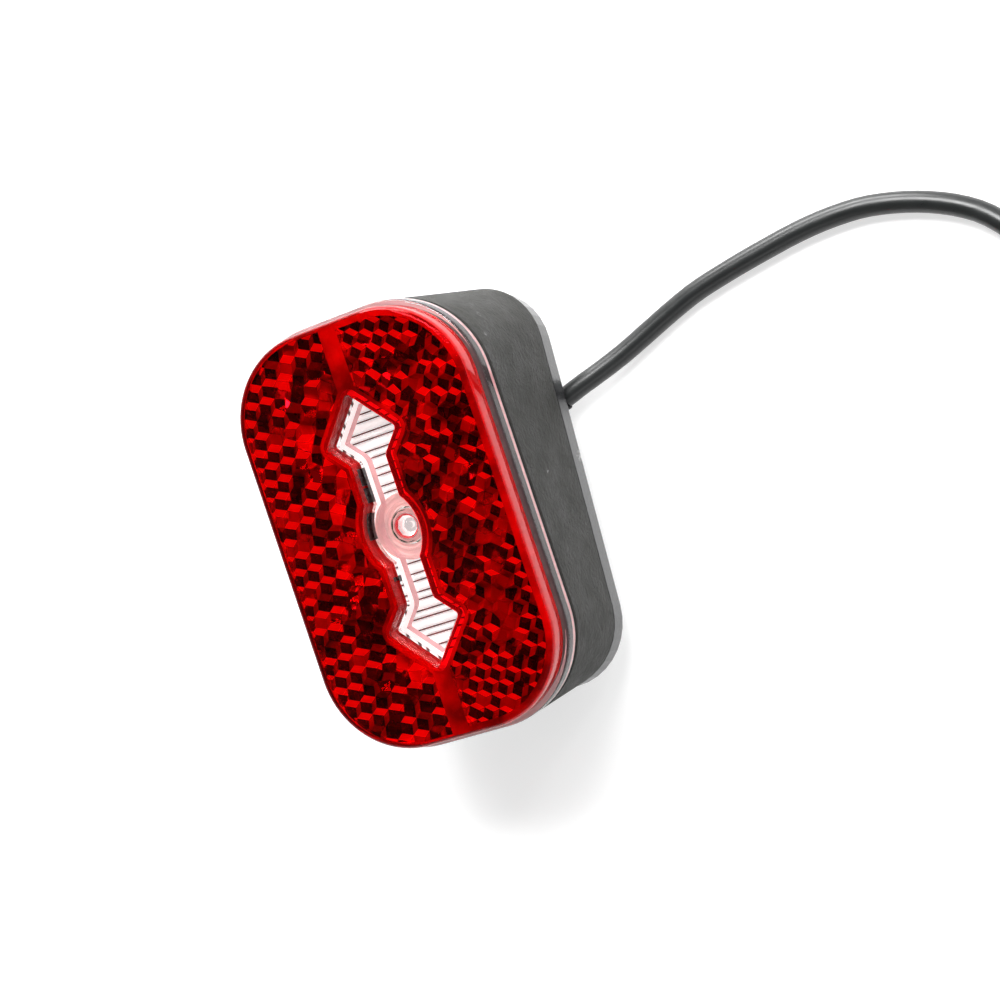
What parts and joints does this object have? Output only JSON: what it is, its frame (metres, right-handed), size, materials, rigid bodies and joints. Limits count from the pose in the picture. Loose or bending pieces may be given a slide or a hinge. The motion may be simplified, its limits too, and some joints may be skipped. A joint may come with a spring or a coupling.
{
  "type": "bicycle tail light",
  "caption": "Rounded rectangular red tail light and reflector with a notched clear window, a wedge-backed black case and a coiled round lead.",
  "frame": {"origin": "centre of the mounting pad's face, under the middle of the light's own bounding box; the light lies on its back on z = 0", "axes": "+X across the light's width, +Y along its length towards the end where the wedge-shaped case is deepest, +Z away from the mounting face, out of the lens"},
  "size_m": [0.2139, 0.0976, 0.0564],
  "materials": {
    "red_lens": "clear red moulded acrylic, polished",
    "reflex_red": "red moulded cube-corner prisms",
    "clear_lens": "colourless moulded acrylic, polished",
    "seal_rubber": "matt black rubber",
    "bed_white": "white fluted reflector",
    "led_disc": "pale pink translucent disc",
    "led_epoxy": "clear epoxy, pink tint",
    "board": "green solder mask",
    "screw_steel": "zinc plated",
    "component_black": "black moulded package",
    "capacitor_sleeve": "blue sleeve",
    "wire_red": "red core insulation",
    "wire_black": "black core insulation",
    "case_black": "dark grey-black, fine spark-eroded texture",
    "cover_black": "dark grey-black, satin",
    "pad_rubber": "matt black rubber",
    "insert_brass": "knurled brass",
    "gland_rubber": "matt black rubber",
    "cable_jacket": "satin dark grey jacket",
    "tie_rubber": "black silicone strap",
    "connector_black": "black moulded plastic",
    "connector_seal": "orange-red sealing ring",
    "pin_brass": "plated contact"
  },
  "bodies": {
    "root": {"red_lens": "red_lens", "reflex_panel_left": "reflex_red", "reflex_panel_right": "reflex_red", "clear_lens": "clear_lens", "lens_seal": "seal_rubber", "cover_seal": "seal_rubber", "reflector_bed": "bed_white", "led_disc": "led_disc", "led": "led_epoxy", "circuit_board": "board", "board_screw_1": "screw_steel", "board_screw_2": "screw_steel", "regulator": "component_black", "diode": "component_black", "resistor_1": "component_black", "resistor_2": "component_black", "inductor": "component_black", "capacitor": "capacitor_sleeve", "wire_positive": "wire_red", "wire_negative": "wire_black", "housing": "case_black", "rear_cover": "cover_black", "cover_screw_1": "screw_steel", "cover_screw_2": "screw_steel", "cover_screw_3": "screw_steel", "cover_screw_4": "screw_steel", "mounting_pad": "pad_rubber", "mount_insert_upper": "insert_brass", "mount_insert_lower": "insert_brass", "cable_gland": "gland_rubber", "cable_lead": "cable_jacket", "cable_coil": "cable_jacket", "cable_tail": "cable_jacket", "coil_tie": "tie_rubber", "connector_shell": "connector_black", "connector_seal": "connector_seal", "connector_pin_1": "pin_brass", "connector_pin_2": "pin_brass"}
  },
  "joints": []
}
